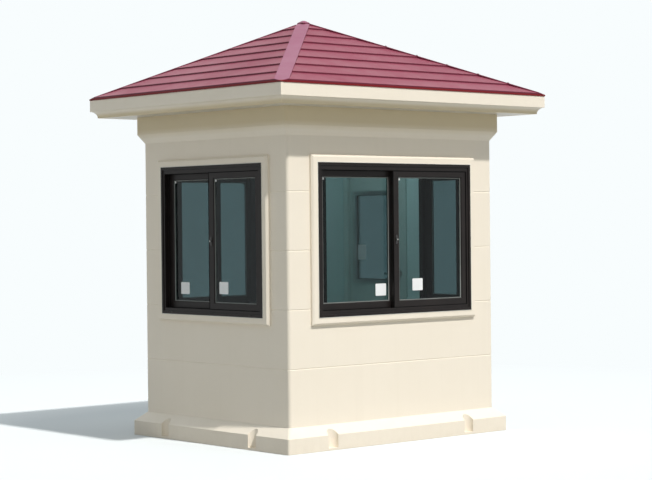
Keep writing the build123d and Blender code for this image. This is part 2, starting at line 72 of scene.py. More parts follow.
camera_data = bpy.data.cameras.new("camera")
camera_data.sensor_width = SENSOR_MM
camera_data.lens = FOCAL_PIXELS * SENSOR_MM / IMAGE_WIDTH
camera_data.clip_end = FARTHEST_SEEN
camera = bpy.data.objects.new("camera", camera_data)
upright = Matrix.Rotation(radians(90) + TILT, 4, "X")
aim = Matrix.Rotation(TURN, 4, "Z") @ upright @ Matrix.Rotation(-ROLL, 4, "Z")
camera.matrix_world = Matrix.Translation(CAMERA_PLACE) @ aim
bpy.context.scene.collection.objects.link(camera)
bpy.context.scene.camera = camera
bpy.context.scene.view_settings.view_transform = "Standard"
print("lens:", round(camera_data.lens, 1), "mm")

# %% [markdown]
# ## Helpers for materials
# A material is a small graph of nodes. It could be drawn by hand in the Shader Editor. Writing each node on
# one line instead, with its inputs as either numbers or other nodes' outputs, keeps the graph readable from
# top to bottom.

# %% Node helpers
def add(tree, kind, inputs=None, **settings):
    """One node: settings are its own choices, inputs are numbers, colours or other nodes' outputs."""
    made = tree.nodes.new(kind)
    for name, value in settings.items():
        setattr(made, name, value)
    for name, value in (inputs or {}).items():
        if isinstance(value, bpy.types.NodeSocket):
            tree.links.new(value, made.inputs[name])
        else:
            made.inputs[name].default_value = value
    return made


def sums(tree, operation, first, second=0.0, clamp=False):
    """The result of one Math node."""
    return add(tree, "ShaderNodeMath", {0: first, 1: second}, operation=operation, use_clamp=clamp).outputs[0]


def share(tree, mask, part):
    """A mask made weaker: only a part of it is kept."""
    return sums(tree, "MULTIPLY", mask, part)


def tint(tree, factor, under, over):
    """One colour laid over another by a factor."""
    return add(tree, "ShaderNodeMix", {0: factor, 6: under, 7: over}, data_type="RGBA").outputs[2]


def spread(tree, value, low, high, first=0.0, last=1.0):
    """A value stretched from one range to another, and held at its ends."""
    inputs = {"Value": value, "From Min": low, "From Max": high, "To Min": first, "To Max": last}
    return add(tree, "ShaderNodeMapRange", inputs, clamp=True).outputs[0]


def coordinate(tree, name):
    """A texture coordinate, such as Object or Normal, split into X, Y and Z."""
    return add(tree, "ShaderNodeSeparateXYZ", {0: add(tree, "ShaderNodeTexCoord").outputs[name]}).outputs


def noise(tree, place, scale, **inputs):
    """Soft random patches that stay near one half; spread then stretches them to the full 0 to 1."""
    return add(tree, "ShaderNodeTexNoise", {"Vector": place, "Scale": scale, **inputs}).outputs["Fac"]

# %% [markdown]
# ## Groups
# A group is a graph with a name. It is made once and then placed in as many materials as need it, each with
# its own values.

# %% Group helpers
def new_group(name, inputs, outputs):
    """An empty node group with named float inputs, which have defaults, and named float outputs."""
    group = bpy.data.node_groups.new(name, "ShaderNodeTree")
    for label, default in inputs.items():
        socket = group.interface.new_socket(name=label, in_out="INPUT", socket_type="NodeSocketFloat")
        socket.default_value = default
    for label in outputs:
        group.interface.new_socket(name=label, in_out="OUTPUT", socket_type="NodeSocketFloat")
    return group, group.nodes.new("NodeGroupInput").outputs, group.nodes.new("NodeGroupOutput").inputs


def use_group(tree, group, **values):
    """A group placed in a material with its own values; underscores in the names stand for spaces."""
    placed = tree.nodes.new("ShaderNodeGroup")
    placed.node_tree = group
    for name, value in values.items():
        placed.inputs[name.replace("_", " ")].default_value = value
    return placed.outputs


def show(group, out):
    """Print what a finished group puts out."""
    print(group.name, "puts out:", [socket.name for socket in out if socket.name])

# %% [markdown]
# ## Effects that several finishes share
# Gel coat, enamel and anodising are never one flat colour. Four effects repeat: a soft mottle with a fine
# orange peel, dirt that splashes up from the ground, streaks that rain draws downwards, and dust on faces
# that look up. Each is a group that puts out plain masks, so every material can choose its own colours for
# them. All of them read Object coordinates, so the marks keep their true size on every piece.

# %% Mottle and orange peel
PATCH_HEIGHT = 3.0
mottle, given, out = new_group("mottle", {"Patch Scale": 3.0, "Peel Scale": 220.0}, ["Patches", "Height"])
place = add(mottle, "ShaderNodeTexCoord").outputs["Object"]
patches = noise(mottle, place, given["Patch Scale"], Detail=4.0, Roughness=0.55)
peel = noise(mottle, place, given["Peel Scale"], Detail=1.0)
mottle.links.new(spread(mottle, patches, 0.35, 0.65), out["Patches"])
mottle.links.new(sums(mottle, "ADD", sums(mottle, "MULTIPLY", patches, PATCH_HEIGHT), peel), out["Height"])
show(mottle, out)

# %% Dirt from the ground
FADE_POWER = 1.6
splash, given, out = new_group("splash", {"Reach": 0.25, "Strength": 1.0}, ["Mask"])
ragged = noise(splash, add(splash, "ShaderNodeTexCoord").outputs["Object"], 14.0, Detail=6.0, Roughness=0.7)
climb = sums(splash, "DIVIDE", coordinate(splash, "Object")["Z"], given["Reach"])
fade = sums(splash, "POWER", sums(splash, "SUBTRACT", 1.0, climb, clamp=True), FADE_POWER)
broken = sums(splash, "MULTIPLY", fade, spread(splash, ragged, 0.35, 0.7))
splash.links.new(sums(splash, "MULTIPLY", broken, given["Strength"]), out["Mask"])
show(splash, out)

# %% Rain streaks
streaks, given, out = new_group("streaks", {"Width": 26.0, "Length": 0.9}, ["Mask"])
parts = coordinate(streaks, "Object")
drawn = add(streaks, "ShaderNodeCombineXYZ", {
    "X": sums(streaks, "MULTIPLY", parts["X"], given["Width"]),
    "Y": sums(streaks, "MULTIPLY", parts["Y"], given["Width"]),
    "Z": sums(streaks, "MULTIPLY", parts["Z"], given["Length"])}).outputs[0]
lines = noise(streaks, drawn, 1.0, Detail=3.0, Roughness=0.6)
streaks.links.new(spread(streaks, lines, 0.52, 0.78), out["Mask"])
show(streaks, out)

# %% Dust that settles on faces that look up
dust, given, out = new_group("dust", {"Amount": 0.5}, ["Mask"])
drift = noise(dust, add(dust, "ShaderNodeTexCoord").outputs["Object"], 9.0, Detail=5.0)
level = spread(dust, coordinate(dust, "Normal")["Z"], 0.3, 0.95)
settled = sums(dust, "MULTIPLY", level, spread(dust, drift, 0.35, 0.7))
dust.links.new(sums(dust, "MULTIPLY", settled, given["Amount"]), out["Mask"])
show(dust, out)

# %% [markdown]
# ## One start for every material
# Each finish below ends in one Principled shader, and most of them pass a height through a Bump node. Two
# helpers hold those lines.

# %% Material helpers
def new_material(name):
    """An empty material with one Principled shader, and its tree."""
    material = bpy.data.materials.new(name)
    material.use_nodes = True
    tree = material.node_tree
    tree.nodes.clear()
    shader = tree.nodes.new("ShaderNodeBsdfPrincipled")
    tree.links.new(shader.outputs[0], add(tree, "ShaderNodeOutputMaterial").inputs["Surface"])
    return material, tree, shader


def finish_surface(tree, shader, base, marks, roughness, rougher, strength, distance):
    """Feed the colour, a roughness that drifts with the patches, and their height to the shader."""
    tree.links.new(base, shader.inputs["Base Color"])
    tree.links.new(spread(tree, marks["Patches"], 0.0, 1.0, roughness, rougher), shader.inputs["Roughness"])
    relief = {"Strength": strength, "Distance": distance, "Height": marks["Height"]}
    tree.links.new(add(tree, "ShaderNodeBump", relief).outputs[0], shader.inputs["Normal"])


print("groups to choose from:", [group.name for group in bpy.data.node_groups])

# %% [markdown]
# ## Cream gel coat
# The walls, the skirt and the fascia come out of a mould with their colour in the surface. Close up it is
# glossy and very slightly rippled. Under the eaves the frieze is painted tan: painted shade for the deep
# shadow and the warm bounced light under the soffit. The same wall also shows its other side in the room,
# which is painted a pale grey green. Each of these places could be a piece of its own, but the real wall is
# one moulding, so masks from the Object coordinates find them.

# %% Frieze and room
# The tan on the frieze is painted shade for the deep shadow and warm bounce under the soffit.
FRIEZE_SHADE_TAN = (0.70, 0.59, 0.38, 1)
FRIEZE_FOOT, FRIEZE_TOP = (1.99, 2.05), (2.15, 2.17)
ROOM_X, ROOM_Y = 0.853, 0.703
FRIEZE_SHADE_SHARE = 0.9


def frieze_shade_and_room(tree, base, room_colour):
    """Lay a painted shade in tan over the frieze, and the room's paint over all that lies inside the walls'
    inner faces.
    """
    parts = coordinate(tree, "Object")
    above_foot = spread(tree, parts["Z"], *FRIEZE_FOOT)
    below_top = spread(tree, parts["Z"], *FRIEZE_TOP, 1.0, 0.0)
    frieze = sums(tree, "MULTIPLY", above_foot, below_top)
    base = tint(tree, share(tree, frieze, FRIEZE_SHADE_SHARE), base, FRIEZE_SHADE_TAN)
    within_x = sums(tree, "LESS_THAN", sums(tree, "ABSOLUTE", parts["X"]), ROOM_X)
    within_y = sums(tree, "LESS_THAN", sums(tree, "ABSOLUTE", parts["Y"]), ROOM_Y)
    return tint(tree, sums(tree, "MULTIPLY", within_x, within_y), base, room_colour)

# %% Cream gel coat
PATCH_SHARE, STREAK_SHARE = 0.5, 0.035


def gel_coat(name, colour, shade, grime, room_colour=None):
    """Moulded gel coat: a colour that drifts towards a shade, with a trace of grime low down."""
    material, tree, shader = new_material(name)
    marks = use_group(tree, mottle)
    base = tint(tree, share(tree, marks["Patches"], PATCH_SHARE), colour, shade)
    base = tint(tree, share(tree, use_group(tree, streaks)["Mask"], STREAK_SHARE), base, grime)
    base = tint(tree, use_group(tree, splash, Reach=0.16, Strength=0.14)["Mask"], base, grime)
    base = tint(tree, use_group(tree, dust, Amount=0.06)["Mask"], base, grime)
    if room_colour:
        base = frieze_shade_and_room(tree, base, room_colour)
    finish_surface(tree, shader, base, marks, 0.34, 0.44, strength=0.12, distance=0.0006)
    return material


cream = gel_coat(
    "cream_gel_coat", colour=(0.88, 0.80, 0.68, 1), shade=(0.86, 0.78, 0.655, 1),
    grime=(0.50, 0.42, 0.30, 1), room_colour=(0.68, 0.86, 0.85, 1))
# The ceiling under the eaves is the same gel coat in a darker colour: painted shade for the shadow there.
ceiling = gel_coat(
    "shaded_ceiling_gel_coat", colour=(0.60, 0.55, 0.47, 1), shade=(0.57, 0.52, 0.44, 1),
    grime=(0.45, 0.39, 0.30, 1))
print("made", cream.name, "and", ceiling.name)

# %% [markdown]
# ## Red roof
# The roof is a deep red gel coat that has lost some of its shine. Dust lies on its upper faces. Each course
# is painted darker at its lap: painted shade for the shadow in the gap under the lap, with some dirt in the
# joint. The rim below the first course keeps the moulding's deeper red, and the slopes are painted paler and
# pinker: a painted sheen of the sky. The hip bands are a little paler and pinker. All of this could be
# painted by hand, but the height and the direction of a face say enough.

# %% Red roof
LAP_SHADE_RED, RIM_RED, RIM_TOP = (0.12, 0.010, 0.028, 1), (0.18, 0.004, 0.007, 1), 2.269
ROOF_DUST, ROOF_STREAK = (0.42, 0.34, 0.33, 1), (0.35, 0.22, 0.22, 1)
ROOF_PATCH_SHARE, ROOF_STREAK_SHARE, ROOF_SHINE = 0.7, 0.10, 0.25


def red_gel_coat(name, colour, shade, roughness):
    """Red gel coat with dust and faint streaks, painted shade under each lap and deep red on the rim."""
    material, tree, shader = new_material(name)
    marks = use_group(tree, mottle, Patch_Scale=2.2)
    base = tint(tree, share(tree, marks["Patches"], ROOF_PATCH_SHARE), colour, shade)
    base = tint(tree, use_group(tree, dust, Amount=0.09)["Mask"], base, ROOF_DUST)
    base = tint(tree, share(tree, use_group(tree, streaks)["Mask"], ROOF_STREAK_SHARE), base, ROOF_STREAK)
    # Steep faces, the risers at the laps, are darkened: painted shade for the gap under each lap, with some
    # dirt in its joint.
    base = tint(tree, spread(tree, coordinate(tree, "Normal")["Z"], 0.75, 0.2), base, LAP_SHADE_RED)
    # The rim keeps the deep red of the moulding; the slopes above it carry a painted sheen of the sky.
    on_rim = sums(tree, "LESS_THAN", coordinate(tree, "Object")["Z"], RIM_TOP)
    base = tint(tree, on_rim, base, RIM_RED)
    shader.inputs["Specular IOR Level"].default_value = ROOF_SHINE
    finish_surface(tree, shader, base, marks, roughness, roughness + 0.1, strength=0.15, distance=0.0006)
    return material


# The slopes' colours are paler and pinker than the moulding's deep red: a painted sheen of the sky.
roof_red_and_sheen = red_gel_coat("roof_red_and_sheen", (0.27, 0.042, 0.078, 1), (0.225, 0.032, 0.064, 1), 0.42)
band_red = red_gel_coat("band_red", (0.31, 0.090, 0.160, 1), (0.28, 0.080, 0.142, 1), 0.40)
print("made", roof_red_and_sheen.name, "and", band_red.name)

# %% [markdown]
# ## Dark bronze aluminium, gaskets, steel and enamel
# The window profiles are anodised dark bronze: almost black, with a satin sheen. Steel, zinc, enamel, vinyl
# and paper could each have a graph of their own, but they differ from it only in colour, gloss and dust, so
# one function makes all of these from the same mottle.

# %% Satin finishes
DUST_GREY = (0.45, 0.42, 0.37, 1)


def satin(name, colour, shade, roughness, metallic=0.0, specular=0.5, dusty=0.2):
    """A satin paint or metal with slow colour drift and settled dust."""
    material, tree, shader = new_material(name)
    marks = use_group(tree, mottle, Patch_Scale=6.0, Peel_Scale=400.0)
    base = tint(tree, marks["Patches"], (*colour, 1), (*shade, 1))
    base = tint(tree, use_group(tree, dust, Amount=dusty)["Mask"], base, DUST_GREY)
    shader.inputs["Metallic"].default_value = metallic
    shader.inputs["Specular IOR Level"].default_value = specular
    finish_surface(tree, shader, base, marks, roughness, roughness + 0.08, strength=0.1, distance=0.0003)
    return material


bronze = satin(
    "dark_bronze", (0.0145, 0.0115, 0.011), (0.019, 0.0150, 0.0140), 0.30, specular=0.16, dusty=0.04)
gasket_grey = satin("grey_gasket", (0.19, 0.20, 0.19), (0.23, 0.24, 0.23), 0.55, specular=0.3, dusty=0.05)
enamel = satin("door_enamel", (0.60, 0.72, 0.69), (0.57, 0.69, 0.66), 0.34, dusty=0.05)
# Black pile; its rings round the sashes also stand in for the shadow in the gaps: painted shadow.
pile = satin("black_pile_and_shadow", (0.003, 0.003, 0.003), (0.005, 0.005, 0.005), 0.8, specular=0.1, dusty=0.0)
pale_cap = satin("pale_cap", (0.86, 0.86, 0.87), (0.80, 0.80, 0.81), 0.35, dusty=0.0)
zinc = satin("zinc_screw", (0.62, 0.62, 0.60), (0.55, 0.55, 0.54), 0.35, metallic=0.7, dusty=0.0)
trim = satin("satin_trim", (0.66, 0.66, 0.65), (0.60, 0.60, 0.59), 0.32, metallic=1.0)
steel = satin("brushed_steel", (0.60, 0.60, 0.59), (0.52, 0.52, 0.51), 0.27, metallic=1.0)
latch_dark = satin("latch_dark", (0.030, 0.028, 0.028), (0.040, 0.037, 0.036), 0.35, dusty=0.05)
bearer_paint = satin("bearer_paint", (0.05, 0.05, 0.055), (0.08, 0.075, 0.07), 0.5)
floor_vinyl = satin("floor_vinyl", (0.46, 0.46, 0.44), (0.50, 0.49, 0.46), 0.5)
sealant = satin("sealant", (0.78, 0.76, 0.70), (0.72, 0.69, 0.62), 0.5)
label_white = satin("label_white", (0.88, 0.89, 0.90), (0.84, 0.85, 0.86), 0.45, dusty=0.0)
print("finishes so far:", len([material for material in bpy.data.materials if material.use_nodes]))

# %% [markdown]
# ## Tinted glass
# Each pane is a real sheet, 5 mm thick, with a grey green body tint. Light passes two faces of a sheet, and
# the colour here is what one face lets through. A low IOR keeps the mirrored surroundings faint. A sheet
# that refracts would also stop the light of the lamps, so shadow rays meet a plain transparent shader.

# %% Tinted glass
glass = bpy.data.materials.new("tinted_glass")
glass.use_nodes = True
tree = glass.node_tree
tree.nodes.clear()
pane_shader = add(tree, "ShaderNodeBsdfPrincipled", {
    "Base Color": (0.21, 0.285, 0.295, 1), "Roughness": 0.0, "IOR": 1.22, "Transmission Weight": 1.0})
clear = add(tree, "ShaderNodeBsdfTransparent", {"Color": (0.97, 0.99, 0.98, 1)})
lamps_pass = add(tree, "ShaderNodeMixShader", {
    0: add(tree, "ShaderNodeLightPath").outputs["Is Shadow Ray"], 1: pane_shader.outputs[0],
    2: clear.outputs[0]})
tree.links.new(lamps_pass.outputs[0], add(tree, "ShaderNodeOutputMaterial").inputs["Surface"])
print("made", glass.name)

# %% [markdown]
# ## Dress the construction pieces
# Every construction piece names a finish in its record, and each finish gets its material here.

# %% Give every piece its finish
finishes = {
    "cream_shell": cream, "cream_ceiling": ceiling, "floor_sheet": floor_vinyl, "bearer_steel": bearer_paint,
    "roof_shell": roof_red_and_sheen, "roof_band": band_red, "dark_aluminium": bronze, "window_glass": glass,
    "latch_metal": latch_dark, "door_enamel": enamel, "door_trim": trim, "handle_steel": steel}
slots = {part["node"]: part["material_slot"] for part in frame["record"]["subparts"]}

for name, piece in nodes.items():
    piece.data.materials.clear()
    piece.data.materials.append(finishes[slots[name]])
print("dressed:", len(slots))

# %% [markdown]
# ## Places on the walls
# Everything else is made flat, with X along a wall, Y up and Z outwards, and then stood on its wall. One
# matrix for each wall does that, so a window's gasket and a label use the same few lines on all sides.

# %% Walls as matrices
def wall_matrix(origin, along, outwards):
    """A matrix that stands a flat piece on a wall: X runs along it, Y up and Z outwards."""
    columns = Matrix((Vector(along), Vector((0, 0, 1)), Vector(outwards))).transposed().to_4x4()
    return Matrix.Translation(origin) @ columns


HALF_WIDTH, HALF_DEPTH = 0.9, 0.75
walls = {
    "front": wall_matrix((0, -HALF_DEPTH, 0), (1, 0, 0), (0, -1, 0)),
    "back": wall_matrix((0, HALF_DEPTH, 0), (-1, 0, 0), (0, 1, 0)),
    "left": wall_matrix((-HALF_WIDTH, 0, 0), (0, -1, 0), (-1, 0, 0)),
    "right": wall_matrix((HALF_WIDTH, 0, 0), (0, 1, 0), (1, 0, 0))}
FACING_IN = Matrix.Rotation(pi, 4, "Y")
print("walls:", list(walls))


def seat(wall, along, height, out):
    """The matrix of a place on a wall, out from its face."""
    return walls[wall] @ Matrix.Translation((along, height, out))


def flat_box(wall, name):
    """A construction piece's box in a wall's own directions: lowest and highest corner."""
    low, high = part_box(name)
    corners = [walls[wall].inverted() @ Vector(point) for point in (low, high)]
    return Vector(map(min, *corners)), Vector(map(max, *corners))

# %% [markdown]
# ## From a shape to a piece
# A bmesh is only a shape. It becomes a piece of the booth when it has a mesh, a material and the body that
# it rides on.

# %% Piece helper
def finish_piece(name, shape, material, body="booth", smooth=False):
    """Turn a bmesh into a piece that rides on a body and has one material."""
    mesh = bpy.data.meshes.new(name)
    shape.to_mesh(mesh)
    shape.free()
    mesh.materials.append(material)
    for face in mesh.polygons:
        face.use_smooth = smooth
    piece = bpy.data.objects.new(name, mesh)
    bpy.context.scene.collection.objects.link(piece)
    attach(piece, body)
    print(name, "faces:", len(mesh.polygons))
    return piece

# %% [markdown]
# ## Softened edges
# Nothing that comes out of a mould or a press has a perfectly sharp edge, and it is the rounded edge that
# catches the light. A Bevel modifier would round inner edges too and open the mitres. So a copy of each
# construction piece is merged, its flat faces are joined, its outward edges are bevelled a little, and the
# copy then stands for the piece, which stays as it is.

# %% Which edges are rounded
EDGE_ANGLE = radians(28)
MITRE_TOLERANCE, MITRE_AREA = 0.01, 0.002


def meets_neighbour(face):
    """True for a wide upright face at 45 degrees: the mitre where two walls or two skirt rails meet."""
    across, deep, up = (abs(part) for part in face.normal)
    return up < MITRE_TOLERANCE and abs(across - deep) < MITRE_TOLERANCE and face.calc_area() > MITRE_AREA


def is_outward(edge):
    """True for an edge that sticks out and doesn't belong to a mitre."""
    return (edge.is_manifold and edge.is_convex and edge.calc_face_angle() > EDGE_ANGLE
            and not any(map(meets_neighbour, edge.link_faces)))

# %% Rounded copies of the construction pieces
DOOR_PIECES = {"door_leaf", "door_beads", "door_handles", "hinge_door_leaves"}
MERGE_DISTANCE, FLAT_ANGLE = 0.00002, radians(0.5)


def soften(radius, names):
    """Copies of construction pieces with rounded outward edges, in place of the pieces."""
    for name in names:
        shape = bmesh.new()
        shape.from_mesh(nodes[name].data)
        bmesh.ops.remove_doubles(shape, verts=shape.verts, dist=MERGE_DISTANCE)
        bmesh.ops.dissolve_limit(shape, angle_limit=FLAT_ANGLE, verts=shape.verts, edges=shape.edges)
        outward = [edge for edge in shape.edges if is_outward(edge)]
        bmesh.ops.bevel(shape, geom=outward, offset=radius, segments=2, profile=0.5, affect="EDGES",
                        material=-1, clamp_overlap=True)
        for edge in shape.edges:
            edge.smooth = edge.calc_face_angle(0) < EDGE_ANGLE
        copy = finish_piece("rounded_" + name, shape, finishes[slots[name]],
                            "door" if name in DOOR_PIECES else "booth", smooth=True)
        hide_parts(name)
        shading = copy.modifiers.new("even shading", "WEIGHTED_NORMAL")
        shading.keep_sharp = True


soften(0.004, ["plinth_front", "plinth_back", "plinth_left", "plinth_right"])
soften(0.0014, ["front_wall", "back_wall", "left_wall", "right_wall_front", "right_wall_head",
                "right_wall_rear"])
soften(0.002, ["eave_fascia"])
soften(0.0025, ["roof_front", "roof_back", "roof_left", "roof_right"])
soften(0.004, ["hip_bands", "peak_cap"])
soften(0.001, [name for name in nodes if name.endswith(("_frame", "_sash"))])
soften(0.0006, ["door_leaf", "door_beads", "door_handles", "hinge_frame_leaves", "hinge_door_leaves",
                "window_latches"])

# %% [markdown]
# ## Rings
# Gaskets, sealant and pile strips are all thin frames round a pane or a window. One could be swept along a
# curve, but its corners would need care. A ring that starts as one flat face, is inset to leave a border,
# pushed up and bevelled has clean mitred corners at once.

# %% Shape helpers
def flat_sheet(width, height):
    """A single flat face of a given size."""
    part = bmesh.new()
    bmesh.ops.create_grid(part, x_segments=1, y_segments=1, size=0.5)
    bmesh.ops.scale(part, vec=(width, height, 1), verts=part.verts)
    return part


def push_up(part, height):
    """Extrude all faces of a flat part upwards, and point the faces of the solid outwards."""
    lifted = bmesh.ops.extrude_face_region(part, geom=part.faces[:])
    top = [item for item in lifted["geom"] if isinstance(item, bmesh.types.BMVert)]
    bmesh.ops.translate(part, verts=top, vec=(0, 0, height))
    bmesh.ops.recalc_face_normals(part, faces=part.faces)


def join_shape(shape, part, place):
    """Add one finished part to a shape at its place, and free the part."""
    bmesh.ops.transform(part, matrix=place, verts=part.verts)
    carried = bpy.data.meshes.new("carried")
    part.to_mesh(carried)
    part.free()
    shape.from_mesh(carried)
    bpy.data.meshes.remove(carried)

# %% Ring helper
def ring(shape, place, width, height, border, depth, bevel):
    """A rectangular ring, standing on a place, with rounded upper edges."""
    part = flat_sheet(width, height)
    hole = part.faces[:]
    bmesh.ops.inset_individual(part, faces=hole, thickness=border, use_even_offset=True)
    bmesh.ops.delete(part, geom=hole, context="FACES")
    push_up(part, depth)
    upper = [edge for edge in part.edges if all(vert.co.z > depth / 2 for vert in edge.verts)
             and edge.calc_face_angle(0) > 1]
    bmesh.ops.bevel(part, geom=upper, offset=bevel, segments=3, profile=0.5, affect="EDGES", material=-1)
    join_shape(shape, part, place)

# %% [markdown]
# ## Gaskets
# A strip of grey rubber holds each pane in its sash on both faces, and its round edge catches a thin light
# line. The part of a pane that shows is the sash less its stiles and rails, so the sashes' boxes give it.

# %% Where each pane shows
STILE, TOP_RAIL, BOTTOM_RAIL, SASH_DEPTH, PANE = 0.052, 0.049, 0.054, 0.030, 0.005
sashes = {
    "front_inner_sash": "front", "front_outer_sash": "front", "back_inner_sash": "back",
    "back_outer_sash": "back", "left_inner_sash": "left", "left_outer_sash": "left",
    "side_window_sash": "right"}
sights = {}
for name, wall in sashes.items():
    low, high = flat_box(wall, name)
    middle_up = (low.y + BOTTOM_RAIL + high.y - TOP_RAIL) / 2
    middle = Vector(((low.x + high.x) / 2, middle_up, high.z - (SASH_DEPTH - PANE) / 2))
    sights[name] = (wall, middle, high.x - low.x - 2 * STILE, high.y - low.y - TOP_RAIL - BOTTOM_RAIL)
    print(name, "shows", round(sights[name][2], 3), "x", round(sights[name][3], 3))

# %% Window gaskets
GASKET = {"border": 0.006, "depth": 0.005, "bevel": 0.0025}
gaskets = bmesh.new()
for wall, middle, width, height in sights.values():
    ring(gaskets, seat(wall, *middle), width, height, **GASKET)
    ring(gaskets, seat(wall, middle.x, middle.y, middle.z - PANE) @ FACING_IN, width, height, **GASKET)
finish_piece("window_gaskets", gaskets, gasket_grey, smooth=True)

# %% [markdown]
# ## Sealant
# Each window frame is bedded in sealant, which shows as a thin pale bead where the dark frame meets the
# moulded surround. The same ring makes it, standing on the surround.

# %% Sealant beads
SURROUND_PROUD, BEAD_WIDTH = 0.025, 0.004
window_frames = {
    "front_window_frame": "front", "back_window_frame": "back", "left_window_frame": "left",
    "side_window_frame": "right"}
beads = bmesh.new()
for name, wall in window_frames.items():
    low, high = flat_box(wall, name)
    middle = (low + high) / 2
    ring(beads, seat(wall, middle.x, middle.y, SURROUND_PROUD), high.x - low.x + 2 * BEAD_WIDTH,
         high.y - low.y + 2 * BEAD_WIDTH, border=BEAD_WIDTH, depth=0.002, bevel=0.0012)
finish_piece("window_sealant", beads, sealant, smooth=True)

# %% [markdown]
# ## Pile strips
# Every sash runs between two strips of black pile, which keep the draught out. The dark line where a sash
# goes into its frame is the pile and the shadow in the gap beside it, so each sash gets a thin black ring
# round the part that shows: partly the pile, partly painted shadow.

# %% Pile strips
JAMB, HEAD, SILL = 0.034, 0.045, 0.038
frame_in = {wall: name for name, wall in window_frames.items()}
strips = bmesh.new()
for name, wall in sashes.items():
    sash_low, sash_high = flat_box(wall, name)
    frame_low, frame_high = flat_box(wall, frame_in[wall])
    low_x, high_x = max(sash_low.x, frame_low.x + JAMB), min(sash_high.x, frame_high.x - JAMB)
    low_y, high_y = frame_low.y + SILL, frame_high.y - HEAD
    ring(strips, seat(wall, (low_x + high_x) / 2, (low_y + high_y) / 2, sash_high.z), high_x - low_x,
         high_y - low_y, border=0.0045, depth=0.0015, bevel=0.0006)
finish_piece("window_pile_and_shadow_strips", strips, pile, smooth=True)

# %% [markdown]
# ## Round heads
# Screws, caps, latch tips and the lock are all small and round. A cylinder with a bevel would do, but each
# also needs its place on a wall or a roof, and a screw needs a recess: its top face is inset and pushed
# down. One helper does all of it.

# %% Button helper
RIM_SHARE, RECESS_SHARE = 0.35, 0.3


def button(shape, place, radius, height, recess=0.0, sides=16):
    """A round head on a place, with a softened rim and, if wanted, a recess in its top."""
    part = bmesh.new()
    bmesh.ops.create_circle(part, cap_ends=True, cap_tris=False, segments=sides, radius=radius)
    push_up(part, height)
    rim = [edge for edge in part.edges if all(vert.co.z > height / 2 for vert in edge.verts)]
    bmesh.ops.bevel(part, geom=rim, offset=min(radius, height) * RIM_SHARE, segments=2, profile=0.5,
                    affect="EDGES", material=-1)
    if recess:
        crown = [max(part.faces, key=lambda face: face.calc_center_median().z * 1000 + face.calc_area())]
        bmesh.ops.inset_region(part, faces=crown, thickness=radius * RECESS_SHARE)
        bmesh.ops.translate(part, verts=crown[0].verts, vec=(0, 0, -recess))
    join_shape(shape, part, place)

# %% [markdown]
# ## Screws on the hip bands
# The two hip bands at the right end are held by five screws each, under pale caps, a little to one side of
# the ridge line. The bands slope two ways, so a ray dropped on them finds each cap's height and tilt.

# %% Caps on the hip bands
PEAK, EAVE_CORNER = Vector((-0.066, 0.058, 2.783)), Vector((1.164, -1.014, 2.277))
BESIDE_RIDGE, DROP, DOWN = 0.030, 0.2, Vector((0, 0, -1))
SCREW_SHARES = (0.341, 0.469, 0.593, 0.721, 0.845)
band_shape = bmesh.new()
band_shape.from_mesh(nodes["hip_bands"].data)
band_surface = BVHTree.FromBMesh(band_shape)
band_shape.free()
hip_screws = bmesh.new()
for side in (-1, 1):
    corner = Vector((EAVE_CORNER.x, EAVE_CORNER.y * -side, EAVE_CORNER.z))
    for part_way in SCREW_SHARES:
        over = PEAK.lerp(corner, part_way) + Vector((-BESIDE_RIDGE, side * BESIDE_RIDGE, DROP))
        found, normal = band_surface.ray_cast(over, DOWN)[:2]
        tilted = Matrix.Translation(found) @ normal.to_track_quat("Z", "Y").to_matrix().to_4x4()
        button(hip_screws, tilted, radius=0.0075, height=0.005)
finish_piece("hip_screws", hip_screws, pale_cap, smooth=True)

# %% [markdown]
# ## Latch tips and drain caps
# A zinc tip shines on each sash latch. Along the foot of each window frame two small covers hide the slots
# that let rain water out. A cover is a cube made flat, with all its edges bevelled.

# %% Latch tips
LATCH_STAND, LATCH_TIP = 0.012, 0.0045
latch_tips = bmesh.new()
for name in ("front_outer_sash", "back_outer_sash", "left_outer_sash"):
    low, high = flat_box(sashes[name], name)
    tip = seat(sashes[name], low.x + STILE / 2, (low.y + high.y) / 2, high.z + LATCH_STAND)
    button(latch_tips, tip, LATCH_TIP, height=0.0015)
finish_piece("latch_tips", latch_tips, zinc, smooth=True)

# %% Drain caps
CAP_SIZE, CAP_FROM_END, CAP_UP, CAP_SUNK = (0.032, 0.009, 0.004), 0.12, 0.012, 0.0005
drain_caps = bmesh.new()
for name, wall in window_frames.items():
    low, high = flat_box(wall, name)
    for along in (low.x + CAP_FROM_END, high.x - CAP_FROM_END):
        part = bmesh.new()
        bmesh.ops.create_cube(part, size=1.0, matrix=Matrix.Diagonal((*CAP_SIZE, 1)))
        bmesh.ops.bevel(part, geom=part.edges[:], offset=0.0015, segments=2, profile=0.5, affect="EDGES",
                        material=-1)
        join_shape(drain_caps, part, seat(wall, along, low.y + CAP_UP, high.z - CAP_SUNK))
finish_piece("drain_caps", drain_caps, bronze, smooth=True)

# %% [markdown]
# ## Door fixings
# Each leaf of the three butt hinges has three screws. Those on the door's own leaves ride on the door and
# the others on the booth, so that they part when it opens. A lock with a steel rose sits below the handle.

